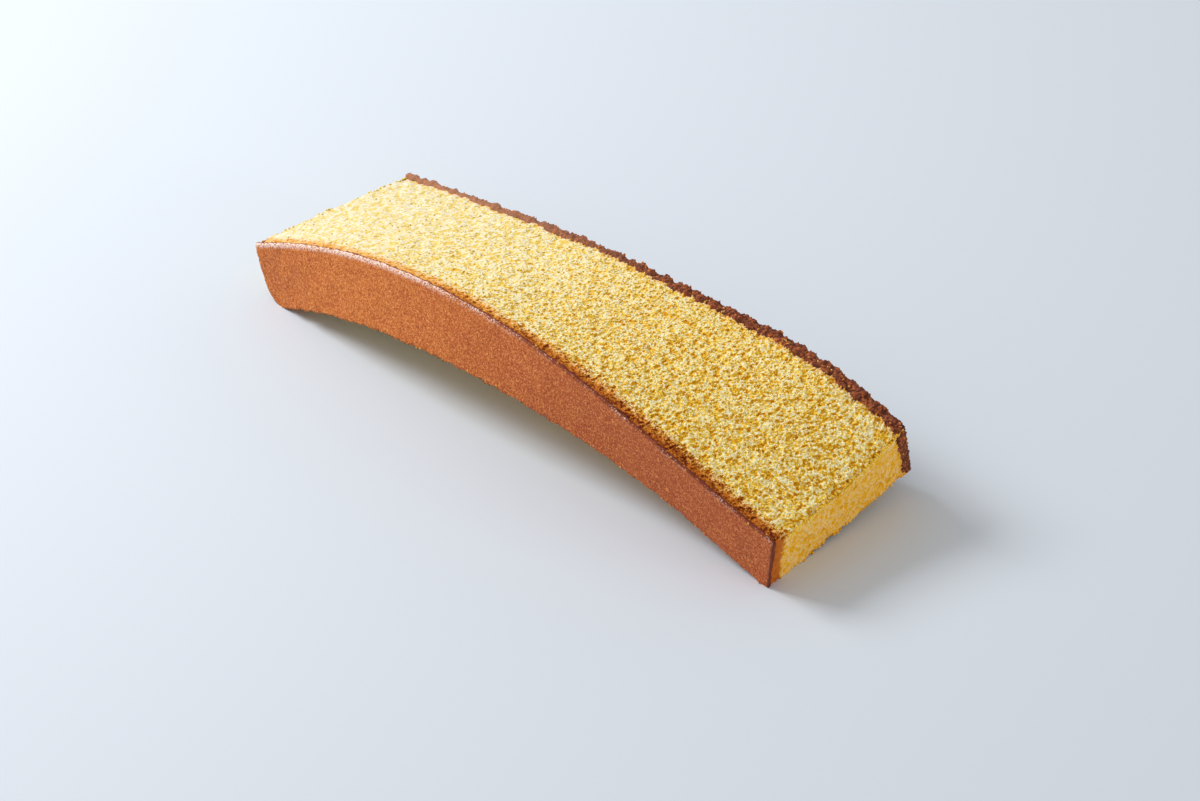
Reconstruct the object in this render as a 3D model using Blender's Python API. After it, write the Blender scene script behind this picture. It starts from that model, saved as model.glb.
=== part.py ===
"""A long slice of castella sponge cake, lying on one cut side and gently bowed.

The slice is drawn straight first, as a block of cells, and gets the relief of its crumb, skin and crust there.
The block is then bowed and set down, so every size below can be read off the straight slice.
Metres, +Z up. +X runs along the slice, -Y is the loaf's smooth browned top and +Y its rough browned base.
"""

import math

import bmesh
import bpy
from mathutils import Vector, noise

# The straight slice
LENGTH = 0.270
LOAF_HEIGHT = 0.068
THICKNESS = 0.0245
LEFT_END_SKEW = 0.009
RIGHT_END_SKEW = 0.004

# The bow, along the skin and along the base: how far the middle rises above the two ends,
# how far its peak is shifted towards the left end, and how flat its top is.
# One corner of the right end stands off the floor.
SKIN_SIDE_RISE = 0.0242
BASE_SIDE_RISE = 0.0088
SKIN_SIDE_PEAK = 0.17
BASE_SIDE_PEAK = -0.67
SKIN_SIDE_FLATNESS = 0.03
BASE_SIDE_FLATNESS = 0.13
CORNER_LIFT = 0.0095
FOOT_DEPTH = 0.0012
FOOT_FROM_MIDDLE = (LENGTH / 4, LOAF_HEIGHT / 6)
SLOPE_STEP = 0.002

# How far the upper face lies behind the lower one at the left end, and before it at the right end,
# and how far the lower face sags under the crust at the right end, with the power of its fall from the corner
SECTION_WIND = 0.0024
CORNER_SAG = 0.0030
SAG_POWER_ALONG = 8
SAG_POWER_ACROSS = 4

# The rounded heel under the left end
HEEL_LENGTH = 0.009
HEEL_HEIGHT = 0.014
HEEL_FADE = 0.026

# The browned skin on the loaf's top, and the amber crumb next to it
SKIN_THICKNESS = 0.0011
SKIN_LIP = 0.0005
AMBER_WIDTH = 0.0045
AMBER_DIP = 0.0004
AMBER_DIP_WIDTH = 0.0090

# The rough crust on the loaf's base
CRUST_THICKNESS = 0.0036
CRUST_LIP = 0.0010
CRUST_LIP_FULL = 0.0029
CRUST_LIP_END = 0.0050
CRAG_SIZE = 0.0042
CRAG_HEIGHT = 0.0009
CUT_FACE_CRAG_SHARE = 1.3

# The crumb
CRUMB_GRAIN = 0.0034
CRUMB_HEIGHT = 0.00055
SWELL_SIZE = 0.021
SWELL_HEIGHT = 0.0007
UNDERSIDE_SHARE = 0.4

# The cells of the block
CELL_LENGTH = 0.00345
CELL_WIDTH = 0.0034
CELL_HEIGHT = 0.0031
END_ROW = 0.0016
ARC_STEPS = 12

SURFACE_SLACK = 1e-6
SHARP_EDGE_DEGREES = 50.0

# Each finish: name, colour, roughness
CRUMB = ("golden_crumb", (0.81, 0.60, 0.22, 1.0), 0.90)
AMBER_CRUMB = ("amber_crumb", (0.66, 0.36, 0.10, 1.0), 0.85)
BROWNED_SKIN = ("browned_skin", (0.44, 0.14, 0.05, 1.0), 0.60)
BASE_CRUST = ("base_crust", (0.26, 0.08, 0.03, 1.0), 0.90)
FINISHES = (CRUMB, AMBER_CRUMB, BROWNED_SKIN, BASE_CRUST)


def smooth_step(low, high, value):
    """0 below low, 1 above high, and a smooth rise between them."""
    share = min(1.0, max(0.0, (value - low) / (high - low)))
    return share * share * (3.0 - 2.0 * share)


def mix(first, second, share):
    return first + (second - first) * share


def cell_lines(low, high, step):
    """Cell borders from low to high, about one step apart, without the two ends."""
    count = max(1, round((high - low) / step))
    return [mix(low, high, i / count) for i in range(1, count)]


def block_lines():
    """Where the cell borders of the straight slice lie along X, Y and Z, outer faces included."""
    half_length, half_height, half_thick = LENGTH / 2, LOAF_HEIGHT / 2, THICKNESS / 2
    skin_side, base_side = -half_height + AMBER_WIDTH, half_height - CRUST_THICKNESS
    first, last = -half_length + END_ROW, half_length - END_ROW
    along = [-half_length, first, *cell_lines(first, last, CELL_LENGTH), last, half_length]
    across = [
        -half_height,
        -half_height + SKIN_THICKNESS,
        skin_side,
        *cell_lines(skin_side, base_side, CELL_WIDTH),
        base_side,
        half_height - CRUST_THICKNESS / 2,
        half_height,
    ]
    up = [-half_thick, *cell_lines(-half_thick, half_thick, CELL_HEIGHT), half_thick]
    return along, across, up


def cell_faces(block, corners, lines, axis, far):
    """Quads over one outer face of the block, looking outwards."""
    first, second = (axis + 1) % 3, (axis + 2) % 3
    for i in range(len(lines[first]) - 1):
        for j in range(len(lines[second]) - 1):
            ring = []
            for di, dj in ((0, 0), (1, 0), (1, 1), (0, 1)):
                place = [0, 0, 0]
                place[axis] = len(lines[axis]) - 1 if far else 0
                place[first], place[second] = i + di, j + dj
                ring.append(corners[tuple(place)])
            block.faces.new(ring if far else ring[::-1])


def finish_at(point):
    """The finish that covers a place on the straight slice."""
    from_skin = point.y + LOAF_HEIGHT / 2
    from_base = LOAF_HEIGHT / 2 - point.y
    if from_skin < SKIN_THICKNESS:
        return BROWNED_SKIN
    if from_skin < AMBER_WIDTH:
        return AMBER_CRUMB
    return BASE_CRUST if from_base < CRUST_THICKNESS else CRUMB


def straight_block():
    """The straight slice as a closed block whose faces are cut into cells."""
    lines = block_lines()
    block = bmesh.new()
    corners = {}
    ends = [len(axis_lines) - 1 for axis_lines in lines]
    for i, x in enumerate(lines[0]):
        for j, y in enumerate(lines[1]):
            for k, z in enumerate(lines[2]):
                if i in (0, ends[0]) or j in (0, ends[1]) or k in (0, ends[2]):
                    corners[i, j, k] = block.verts.new((x, y, z))
    for axis in range(3):
        for far in (False, True):
            cell_faces(block, corners, lines, axis, far)
    for face in block.faces:
        face.material_index = FINISHES.index(finish_at(face.calc_center_median()))
    return block


def bumps(point, size):
    """Even, repeatable noise from -1 to 1 whose bumps are about as wide as size."""
    return noise.noise(Vector(point) / size)


def crumb_relief(point):
    """How far the cut crumb stands out of its flat face."""
    return CRUMB_HEIGHT * bumps(point, CRUMB_GRAIN) + SWELL_HEIGHT * bumps(point, SWELL_SIZE)


def crag_relief(point):
    """How far the rough base stands out of its flat face."""
    return CRAG_HEIGHT * bumps(point, CRAG_SIZE)


def cut_face_relief(point):
    """The cut face: a low lip of skin, a dip in the amber crumb, the crumb itself and the raised rough crust."""
    from_skin = point.y + LOAF_HEIGHT / 2
    from_base = LOAF_HEIGHT / 2 - point.y
    skin = 1.0 - smooth_step(0.0, SKIN_THICKNESS, from_skin)
    amber = (1.0 - smooth_step(0.0, AMBER_DIP_WIDTH, from_skin)) * (1.0 - skin)
    crust = 1.0 - smooth_step(CRUST_LIP_FULL, CRUST_LIP_END, from_base)
    crumb = (1.0 - crust) * (1.0 - skin) * crumb_relief(point)
    rough_lip = crust * (CRUST_LIP + CUT_FACE_CRAG_SHARE * crag_relief(point))
    return SKIN_LIP * skin - AMBER_DIP * amber + crumb + rough_lip


def underside_relief(point):
    """The lower cut face, whose crumb and crust are pressed down by the slice's own weight."""
    return UNDERSIDE_SHARE * crumb_relief(point)


def relief(point):
    """The offset that turns a point of the smooth block into one on the cake's own surface."""
    offset = Vector((0.0, 0.0, 0.0))
    if abs(point.z - THICKNESS / 2) < SURFACE_SLACK:
        offset.z += cut_face_relief(point)
    if abs(point.z + THICKNESS / 2) < SURFACE_SLACK:
        offset.z -= underside_relief(point)
    if abs(abs(point.x) - LENGTH / 2) < SURFACE_SLACK:
        offset.x += math.copysign(1.0, point.x) * crumb_relief(point)
    if abs(point.y - LOAF_HEIGHT / 2) < SURFACE_SLACK:
        offset.y += crag_relief(point)
    return offset


def round_heel(point):
    """Draws the lower part of the left end inwards, as a quarter of an ellipse."""
    above_base = point.z + THICKNESS / 2
    if above_base >= HEEL_HEIGHT:
        return point
    drop = min(1.0, 1.0 - above_base / HEEL_HEIGHT)
    inwards = HEEL_LENGTH * (1.0 - math.sqrt(1.0 - drop * drop))
    from_end = point.x + LENGTH / 2
    fade = 1.0 - smooth_step(0.0, HEEL_FADE, from_end)
    return Vector((point.x + inwards * fade, point.y, point.z))


def bow_height(along, across):
    """Height of the middle surface, for shares 0 to 1 along the slice and across it from skin to base."""
    peak = mix(SKIN_SIDE_PEAK, BASE_SIDE_PEAK, across)
    flatness = mix(SKIN_SIDE_FLATNESS, BASE_SIDE_FLATNESS, across)
    rise = mix(SKIN_SIDE_RISE, BASE_SIDE_RISE, across)
    angle = math.pi * (along + peak * along * (1.0 - along))
    arch = rise * (math.sin(angle) + flatness * math.sin(3.0 * angle)) / (1.0 - flatness)
    return arch + CORNER_LIFT * along * across * abs(across)


def bow_slopes(along, across):
    """Slopes of the middle surface along X and along Y."""
    rise_along = bow_height(along + SLOPE_STEP, across) - bow_height(along - SLOPE_STEP, across)
    rise_across = bow_height(along, across + SLOPE_STEP) - bow_height(along, across - SLOPE_STEP)
    return rise_along / (2 * SLOPE_STEP * LENGTH), rise_across / (2 * SLOPE_STEP * LOAF_HEIGHT)


def level_distance(along, across):
    """Distance along X from the slice's middle, shorter than along the bowed surface itself."""
    step = (along - 0.5) / ARC_STEPS
    total = 0.0
    for i in range(ARC_STEPS):
        slope = bow_slopes(0.5 + (i + 0.5) * step, across)[0]
        total += step * LENGTH * math.sqrt(max(0.0, 1.0 - slope * slope))
    return total


def bow(point):
    """Carries a point of the straight slice onto the bowed one, square to its middle surface."""
    across = point.y / LOAF_HEIGHT + 0.5
    along = point.x / LENGTH + 0.5
    skew = across * mix(LEFT_END_SKEW, -RIGHT_END_SKEW, along)
    above_middle = point.z / THICKNESS
    wind = SECTION_WIND * above_middle * (1.0 - 2.0 * along)
    sag = CORNER_SAG * max(0.0, 0.5 - above_middle) * along ** SAG_POWER_ALONG * across ** SAG_POWER_ACROSS
    slope_x, slope_y = bow_slopes(along, across)
    upright = Vector((-slope_x, -slope_y, 1.0)).normalized()
    middle = Vector((level_distance(along, across) + skew, point.y + wind, bow_height(along, across)))
    return middle + upright * (point.z - sag)


def lowest(vertices, end, side):
    """Lowest height in the outer part of one end (-1 left, 1 right) and one side (-1 skin, 1 base)."""
    far_x, far_y = FOOT_FROM_MIDDLE
    return min(v.co.z for v in vertices if end * v.co.x > far_x and side * v.co.y > far_y)


def set_down(vertices):
    """Stands the slice on the left end and the right end's skin side, each pressed a little flat on the floor."""
    left_skin, left_base, right_skin = lowest(vertices, -1, -1), lowest(vertices, -1, 1), lowest(vertices, 1, -1)
    for vertex in vertices:
        along, across = vertex.co.x / LENGTH + 0.5, vertex.co.y / LOAF_HEIGHT + 0.5
        floor = left_skin + along * (right_skin - left_skin) + across * (left_base - left_skin)
        vertex.co.z = max(0.0, vertex.co.z - floor - FOOT_DEPTH)


def centre(vertices):
    """Puts the middle of the slice's box over the origin."""
    for axis in (0, 1):
        places = [v.co[axis] for v in vertices]
        middle = (min(places) + max(places)) / 2
        for vertex in vertices:
            vertex.co[axis] -= middle


def matt_material(name, colour, roughness):
    """A plain matt food surface."""
    material = bpy.data.materials.new(name)
    material.use_nodes = True
    surface = material.node_tree.nodes["Principled BSDF"]
    surface.inputs["Base Color"].default_value = colour
    surface.inputs["Roughness"].default_value = roughness
    surface.inputs["Metallic"].default_value = 0.0
    return material


def make_slice():
    """The whole slice as one closed body."""
    block = straight_block()
    for vertex in block.verts:
        vertex.co = bow(round_heel(vertex.co + relief(vertex.co)))
    set_down(block.verts)
    centre(block.verts)
    bmesh.ops.triangulate(block, faces=block.faces)
    mesh = bpy.data.meshes.new("castella_slice")
    block.to_mesh(mesh)
    block.free()
    mesh.shade_smooth()
    mesh.set_sharp_from_angle(angle=math.radians(SHARP_EDGE_DEGREES))
    for finish in FINISHES:
        mesh.materials.append(matt_material(*finish))
    cake = bpy.data.objects.new("castella_slice", mesh)
    bpy.context.scene.collection.objects.link(cake)
    return cake


for old in list(bpy.data.objects):
    bpy.data.objects.remove(old)
make_slice()
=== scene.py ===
"""A long slice of castella sponge cake on its cut side: open golden crumb, browned skin and rough base crust.

Every piece is drawn on the straight slice first, and is then bowed and set down as the solid is.
Metres, +Z up. +X runs along the slice, -Y is the loaf's smooth browned top and +Y its rough browned base.
"""

import math

import bpy
import numpy as np
from bpy.props import FloatProperty, FloatVectorProperty, IntProperty, PointerProperty
from mathutils import Matrix, Vector, noise


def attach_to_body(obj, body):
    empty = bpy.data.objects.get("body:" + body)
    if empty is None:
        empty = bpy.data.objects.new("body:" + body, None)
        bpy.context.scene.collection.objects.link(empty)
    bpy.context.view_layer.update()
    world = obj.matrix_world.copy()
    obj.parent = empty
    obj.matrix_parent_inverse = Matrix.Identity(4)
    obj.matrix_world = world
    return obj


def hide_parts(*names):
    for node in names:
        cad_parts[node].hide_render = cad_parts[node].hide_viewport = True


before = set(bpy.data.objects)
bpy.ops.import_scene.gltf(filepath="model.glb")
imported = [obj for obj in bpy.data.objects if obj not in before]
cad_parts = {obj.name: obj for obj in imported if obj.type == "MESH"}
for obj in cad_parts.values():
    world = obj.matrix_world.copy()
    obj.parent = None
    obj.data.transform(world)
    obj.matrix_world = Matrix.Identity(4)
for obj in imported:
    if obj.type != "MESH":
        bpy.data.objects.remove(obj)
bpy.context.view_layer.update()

bl_info = {
    "name": "Castella slice",
    "version": (1, 0, 0),
    "blender": (4, 5, 0),
    "location": "3D View > Sidebar > Castella",
    "description": "Dresses a slice of castella sponge cake in its crumb, skin and crust",
    "category": "Object",
}

NODE = "castella_slice"
BODY = "root"

# The straight slice, as the solid has it
LENGTH = 0.270
LOAF_HEIGHT = 0.068
THICKNESS = 0.0245
LEFT_END_SKEW = 0.009
RIGHT_END_SKEW = 0.004
HALF = np.array((LENGTH, LOAF_HEIGHT, THICKNESS)) / 2

# Its bow, along the skin and along the base
SKIN_SIDE_RISE = 0.0242
BASE_SIDE_RISE = 0.0088
SKIN_SIDE_PEAK = 0.17
BASE_SIDE_PEAK = -0.67
SKIN_SIDE_FLATNESS = 0.03
BASE_SIDE_FLATNESS = 0.13
CORNER_LIFT = 0.0095
FOOT_DEPTH = 0.0012
FOOT_FROM_MIDDLE = (LENGTH / 4, LOAF_HEIGHT / 6)
SLOPE_STEP = 0.002
SECTION_WIND = 0.0024
CORNER_SAG = 0.0030
SAG_POWER_ALONG = 8
SAG_POWER_ACROSS = 4
ARC_STEPS = 12

# The rounded heel under the left end
HEEL_LENGTH = 0.009
HEEL_HEIGHT = 0.014
HEEL_FADE = 0.026

# The relief that the solid already has
SKIN_THICKNESS = 0.0011
SKIN_LIP = 0.0005
AMBER_WIDTH = 0.0045
AMBER_DIP = 0.0004
AMBER_DIP_WIDTH = 0.0090
CRUST_THICKNESS = 0.0036
CRUST_LIP = 0.0010
CRUST_LIP_FULL = 0.0029
CRUST_LIP_END = 0.0050
CRAG_SIZE = 0.0042
CRAG_HEIGHT = 0.0009
CUT_FACE_CRAG_SHARE = 1.3
CRUMB_GRAIN = 0.0034
CRUMB_HEIGHT = 0.00055
SWELL_SIZE = 0.021
SWELL_HEIGHT = 0.0007
UNDERSIDE_SHARE = 0.4
CELL_LENGTH = 0.00345
CELL_WIDTH = 0.0034
CELL_HEIGHT = 0.0031
END_ROW = 0.0016

# How open the finish makes the crumb, as shares of its full depth
OPEN_LEFT = 0.30
OPEN_RIGHT = 1.15
OPEN_END = 0.7
OPEN_UNDER = 0.3
OPEN_CORNER = 0.45
CORNER_WIDTH = 0.0018

# The rounded upper edge of the right end
ROUNDING_DEPTH = 0.0010
ROUNDING_WIDTH = 0.0026
ROUNDING_WANDER = 0.0008
ROUNDING_GAP = 0.003

# How deep one crumb block lies under the next, at its border and one and two cells past it
SUNK_UNDER_NEXT = (0.0, 0.00005, 0.0004)

# Cells that one face spans where little shows, and how far the crumb stays inside its skin and crust
COARSE = 8
INSET = 0.4

# The crust's width, as a share, grows along the slice
CRUST_WIDTH_LEFT = 0.6
CRUST_WIDTH_RIGHT = 1.1
CRUST_WIDTH_REACH = 0.8 * LENGTH

OUTWARD_PROBE = 1e-4
SLACK = 1e-6


def srgb(red, green, blue):
    """The linear colour for one given as the eye reads it, 0 to 255 a channel."""
    linear = []
    for channel in (red, green, blue):
        share = channel / 255
        linear.append(share / 12.92 if share <= 0.04045 else ((share + 0.055) / 1.055) ** 2.4)
    return (*linear, 1.0)


def length(name, description, default):
    """A length setting in metres."""
    return FloatProperty(
        name=name, description=description, default=default, min=0.0002, unit="LENGTH", precision=5
    )


class CastellaSizes(bpy.types.PropertyGroup):
    """Sizes of the finish that lies over the solid."""

    crumb_step: length("Crumb step", "Width of the mesh cells on the cut faces", 0.00024)
    crumb_blocks: IntProperty(
        name="Crumb blocks", description="Number of meshes, end to end, in the crumb", default=5, min=1
    )
    grain_gap: length("Grain gap", "Distance between the torn grains of the crumb", 0.00098)
    pit_gap: length("Pit gap", "Distance between the larger open bubbles", 0.0028)
    crumb_depth: length("Crumb depth", "Height from the pits of the crumb to its grains", 0.0015)
    curd_length: length("Curd length", "Length of the torn threads that stand on the cut faces", 0.0010)
    curd_gap: length("Curd gap", "Least distance between two torn threads", 0.0012)
    skin_thickness: length("Skin thickness", "Thickness of the browned skin", 0.0010)
    crust_step: length("Crust step", "Width of the mesh cells on the base crust", 0.00042)
    crag_width: length("Crag width", "Width of the crumbs that stand on the base crust", 0.00125)
    crag_depth: length("Crag depth", "Height from the hollows of the base crust to its crumbs", 0.0011)
    seed: IntProperty(name="Seed", description="Seed of every random draw", default=7)


def shade(name, description, *red_green_blue):
    """A colour setting, given as the eye reads it."""
    return FloatVectorProperty(
        name=name, description=description, default=srgb(*red_green_blue), size=4, subtype="COLOR"
    )


class CastellaColours(bpy.types.PropertyGroup):
    """Colours of the slice and its stage."""

    # Crumb colours. The left-end ones are paler, partly painted sheen. Grains are partly painted highlight
    # and pits are painted shade, over the crumb's own golden colour.
    grain_pale: shade("Pale grains", "Torn grains at the left end", 233, 226, 208)
    crumb_pale: shade("Pale crumb", "Between grains and pits at the left end", 226, 206, 134)
    pale_pit_shade: shade("Pale pits", "Open bubbles at the left end", 219, 185, 68)
    grain: shade("Grains", "Torn grains at the right end", 255, 247, 209)
    crumb: shade("Crumb", "Between grains and pits at the right end", 254, 219, 68)
    pit: shade("Pits", "Open bubbles at the right end", 223, 151, 0)
    # Deeper golden than the cut face's crumb: partly painted shade on the shaded end.
    end_crumb: shade("End crumb", "The smoother crumb of both ends", 252, 184, 22)
    amber: shade("Amber crumb", "The moist crumb beside the skin", 240, 164, 40)
    # Darker amber in the pits: painted shade.
    amber_pit_shade: shade("Amber pits", "Open bubbles beside the skin", 190, 88, 6)
    burnt: shade("Burnt crumb", "The crumb that touches the skin or the crust", 200, 106, 30)
    # Darker burnt crumb in the pits: painted shade.
    burnt_pit_shade: shade("Burnt pits", "Open bubbles at the skin or the crust", 118, 46, 14)
    skin: shade("Skin", "The skin at the left end", 201, 111, 47)
    # Darker than at the left: partly the skin's own tone, partly painted shade.
    skin_right_tone_and_shade: shade("Deep skin", "The skin at the right end", 187, 90, 44)
    skin_bright: shade("Skin grain", "The light grain of the skin", 248, 168, 98)
    skin_dark: shade("Skin specks", "The dark specks between the skin's grain", 118, 46, 18)
    skin_pore: shade("Skin pores", "The few open pores of the skin", 96, 42, 20)
    skin_streak: shade("Skin streaks", "The upright streaks near the left end", 176, 92, 48)
    skin_edge: shade("Skin edge", "The dark cut edge of the skin", 104, 40, 26)
    # Pale rim flecks: painted highlight on the glossy rim.
    skin_rim_highlight: shade("Skin rim", "The pale glossy flecks along the skin's cut rim", 246, 220, 208)
    crust: shade("Crust", "The rough base crust", 166, 86, 46)
    # Crust hollows: darker crust, partly painted shade.
    crust_dark_and_shade: shade("Crust hollows", "The hollows of the crust", 86, 36, 16)
    # Painted sheen: the paler crust at the left end.
    crust_left_sheen: shade("Pale crust", "The crust at the left end", 214, 156, 122)
    crust_light: shade("Crust crumbs", "Orange crumbs on the crust", 214, 134, 74)
    crust_patch: shade("Dark crust", "Darker patches of the crust", 92, 38, 16)
    loose_crumb: shade("Loose crumbs", "The palest of the crumbs on the skin and the crust", 244, 190, 92)
    table: shade("Table", "The pale floor", 211, 219, 230)


def angle(name, description, degrees):
    """An angle setting, given in degrees."""
    return FloatProperty(name=name, description=description, default=math.radians(degrees), subtype="ANGLE")


class CastellaView(bpy.types.PropertyGroup):
    """The camera's place, seen from the slice, and the lights round it."""

    azimuth: angle("Azimuth", "Turn of the view round the slice, from straight at its skin", 49.2)
    elevation: angle("Elevation", "Angle of the view above the table", 35.12)
    roll: angle("Roll", "Turn of the picture about the line of sight", -4.11)
    distance: FloatProperty(
        name="Distance",
        description="From the camera to the point it looks at",
        default=1.1758,
        unit="LENGTH",
    )
    aim: FloatVectorProperty(
        name="Aim",
        description="The point in the middle of the picture",
        default=(0.01647, -0.00210, 0.00433),
        size=3,
        subtype="XYZ",
        unit="LENGTH",
    )
    lens: FloatProperty(name="Lens", description="Focal length in millimetres", default=100.5)
    key_power: FloatProperty(name="Window", description="Power of the window light in watts", default=14.2)
    fill_power: FloatProperty(name="Fill", description="Power of the fill light in watts", default=4.0)
    sky: FloatProperty(name="Room light", description="Strength of the light from all round", default=0.56)


def smooth_step(low, high, value):
    """0 below low, 1 above high, and a smooth rise between them."""
    share = np.clip((value - low) / (high - low), 0.0, 1.0)
    return share * share * (3.0 - 2.0 * share)


def fade(reach, value):
    """1 at 0 and a smooth fall to 0 at reach."""
    return 1.0 - smooth_step(0.0, reach, value)


def mix(first, second, share):
    return first + (second - first) * share


def cell_lines(low, high, step):
    """Cell borders from low to high, both included, about one step apart."""
    count = max(1, round((high - low) / step))
    return [mix(low, high, i / count) for i in range(count + 1)]


def bumps(points, size):
    """Even, repeatable noise from -1 to 1 whose bumps are about as wide as size."""
    return np.array([noise.noise(Vector(p)) for p in points / size])


def crumb_relief(points):
    return CRUMB_HEIGHT * bumps(points, CRUMB_GRAIN) + SWELL_HEIGHT * bumps(points, SWELL_SIZE)


def crag_relief(points):
    return CRAG_HEIGHT * bumps(points, CRAG_SIZE)


def cut_face_relief(points):
    """The solid's cut face: lip of skin, dip of amber crumb, the crumb itself and the raised crust."""
    from_skin = points[:, 1] + HALF[1]
    skin = fade(SKIN_THICKNESS, from_skin)
    amber = fade(AMBER_DIP_WIDTH, from_skin) * (1.0 - skin)
    crust = 1.0 - smooth_step(CRUST_LIP_FULL, CRUST_LIP_END, HALF[1] - points[:, 1])
    crumb = (1.0 - crust) * (1.0 - skin) * crumb_relief(points)
    rough_lip = crust * (CRUST_LIP + CUT_FACE_CRAG_SHARE * crag_relief(points))
    return SKIN_LIP * skin - AMBER_DIP * amber + crumb + rough_lip


def round_heel(points):
    """Draws the lower part of the left end inwards, as a quarter of an ellipse."""
    drop = np.clip(1.0 - (points[:, 2] + HALF[2]) / HEEL_HEIGHT, 0.0, 1.0)
    inwards = HEEL_LENGTH * (1.0 - np.sqrt(1.0 - drop * drop))
    moved = points.copy()
    moved[:, 0] += inwards * fade(HEEL_FADE, points[:, 0] + HALF[0])
    return moved


def bow_height(along, across):
    """Height of the middle surface, for shares 0 to 1 along the slice and across it from skin to base."""
    peak = mix(SKIN_SIDE_PEAK, BASE_SIDE_PEAK, across)
    flatness = mix(SKIN_SIDE_FLATNESS, BASE_SIDE_FLATNESS, across)
    rise = mix(SKIN_SIDE_RISE, BASE_SIDE_RISE, across)
    angle = math.pi * (along + peak * along * (1.0 - along))
    arch = rise * (np.sin(angle) + flatness * np.sin(3.0 * angle)) / (1.0 - flatness)
    return arch + CORNER_LIFT * along * across * np.abs(across)


def bow_slopes(along, across):
    """Slopes of the middle surface along X and along Y."""
    rise_along = bow_height(along + SLOPE_STEP, across) - bow_height(along - SLOPE_STEP, across)
    rise_across = bow_height(along, across + SLOPE_STEP) - bow_height(along, across - SLOPE_STEP)
    return rise_along / (2 * SLOPE_STEP * LENGTH), rise_across / (2 * SLOPE_STEP * LOAF_HEIGHT)


def level_distance(along, across):
    """Distance along X from the slice's middle, shorter than along the bowed surface itself."""
    step = (along - 0.5) / ARC_STEPS
    total = np.zeros_like(along)
    for i in range(ARC_STEPS):
        slope = bow_slopes(0.5 + (i + 0.5) * step, across)[0]
        total += step * LENGTH * np.sqrt(np.maximum(0.0, 1.0 - slope * slope))
    return total


def bow(points):
    """Carries points of the straight slice onto the bowed one, square to its middle surface."""
    across = points[:, 1] / LOAF_HEIGHT + 0.5
    along = points[:, 0] / LENGTH + 0.5
    skew = across * mix(LEFT_END_SKEW, -RIGHT_END_SKEW, along)
    above_middle = points[:, 2] / THICKNESS
    wind = SECTION_WIND * above_middle * (1.0 - 2.0 * along)
    sag = CORNER_SAG * np.maximum(0.0, 0.5 - above_middle) * along**SAG_POWER_ALONG * across**SAG_POWER_ACROSS
    slope_x, slope_y = bow_slopes(along, across)
    upright = np.stack([-slope_x, -slope_y, np.ones_like(slope_x)], 1)
    upright /= np.linalg.norm(upright, axis=1)[:, None]
    level = level_distance(along, across) + skew
    middle = np.stack([level, points[:, 1] + wind, bow_height(along, across)], 1)
    return middle + upright * (points[:, 2] - sag)[:, None]


def sides(points):
    """Which points of the straight slice lie on its ends, its back, its top and its underside."""
    x, y, z = points.T
    return np.abs(x) > HALF[0] - SLACK, y > HALF[1] - SLACK, z > HALF[2] - SLACK, z < SLACK - HALF[2]


def outwards(points):
    """Steps out of the straight slice, from points on its ends, its back, its top and its underside."""
    ends, back, top, under = sides(points)
    return np.stack([np.where(ends, np.sign(points[:, 0]), 0.0), 1.0 * back, 1.0 * top - 1.0 * under], 1)


def solid_points():
    """The straight slice's surface points with the solid's own relief, on the solid's own cells."""
    skin_side, base_side = -HALF[1] + AMBER_WIDTH, HALF[1] - CRUST_THICKNESS
    along = [-HALF[0], *cell_lines(-HALF[0] + END_ROW, HALF[0] - END_ROW, CELL_LENGTH), HALF[0]]
    across = [-HALF[1], -HALF[1] + SKIN_THICKNESS, *cell_lines(skin_side, base_side, CELL_WIDTH)]
    across += [HALF[1] - CRUST_THICKNESS / 2, HALF[1]]
    upwards = cell_lines(-HALF[2], HALF[2], CELL_HEIGHT)
    points = np.stack(np.meshgrid(along, across, upwards, indexing="ij"), -1).reshape(-1, 3)
    points = points[(np.abs(np.abs(points) - HALF) < SLACK).any(1)]
    ends, back, top, under = sides(points)
    moved = points.copy()
    moved[top, 2] += cut_face_relief(points[top])
    moved[under, 2] -= UNDERSIDE_SHARE * crumb_relief(points[under])
    moved[ends, 0] += np.sign(points[ends, 0]) * crumb_relief(points[ends])
    moved[back, 1] += crag_relief(points[back])
    return moved


class Seat:
    """Where the bowed slice comes down: found once on the solid's points, then used for every piece."""

    def __init__(self):
        points = bow(round_heel(solid_points()))
        self.left_skin = self.lowest(points, -1, -1)
        self.across = self.lowest(points, -1, 1) - self.left_skin
        self.along = self.lowest(points, 1, -1) - self.left_skin
        self.middle = (points[:, :2].min(0) + points[:, :2].max(0)) / 2

    @staticmethod
    def lowest(points, end, side):
        """Lowest height in the outer part of one end and one side."""
        far_x, far_y = FOOT_FROM_MIDDLE
        foot = (end * points[:, 0] > far_x) & (side * points[:, 1] > far_y)
        return points[foot, 2].min()

    def set_down(self, points):
        """Stands bowed points on the table, pressed a little flat where the solid is."""
        along, across = points[:, 0] / LENGTH + 0.5, points[:, 1] / LOAF_HEIGHT + 0.5
        floor = self.left_skin + along * self.along + across * self.across + FOOT_DEPTH
        placed = points.copy()
        placed[:, 2] = np.maximum(0.0, points[:, 2] - floor)
        placed[:, :2] -= self.middle
        return placed

    def place(self, points):
        """From the straight slice to the bowed one on the table."""
        return self.set_down(bow(round_heel(points)))


SEAT = Seat()


def strides(count, stride):
    """Grid places 0 to count, a stride apart, with the last one always there."""
    places = list(range(0, count, stride))
    return list(zip(places, [*places[1:], count]))


def walk(start, stop, every):
    """Grid places from start up to but not including stop: all of them, or just the first."""
    return range(start, stop, 1 if stop > start else -1) if every else (start,)


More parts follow.
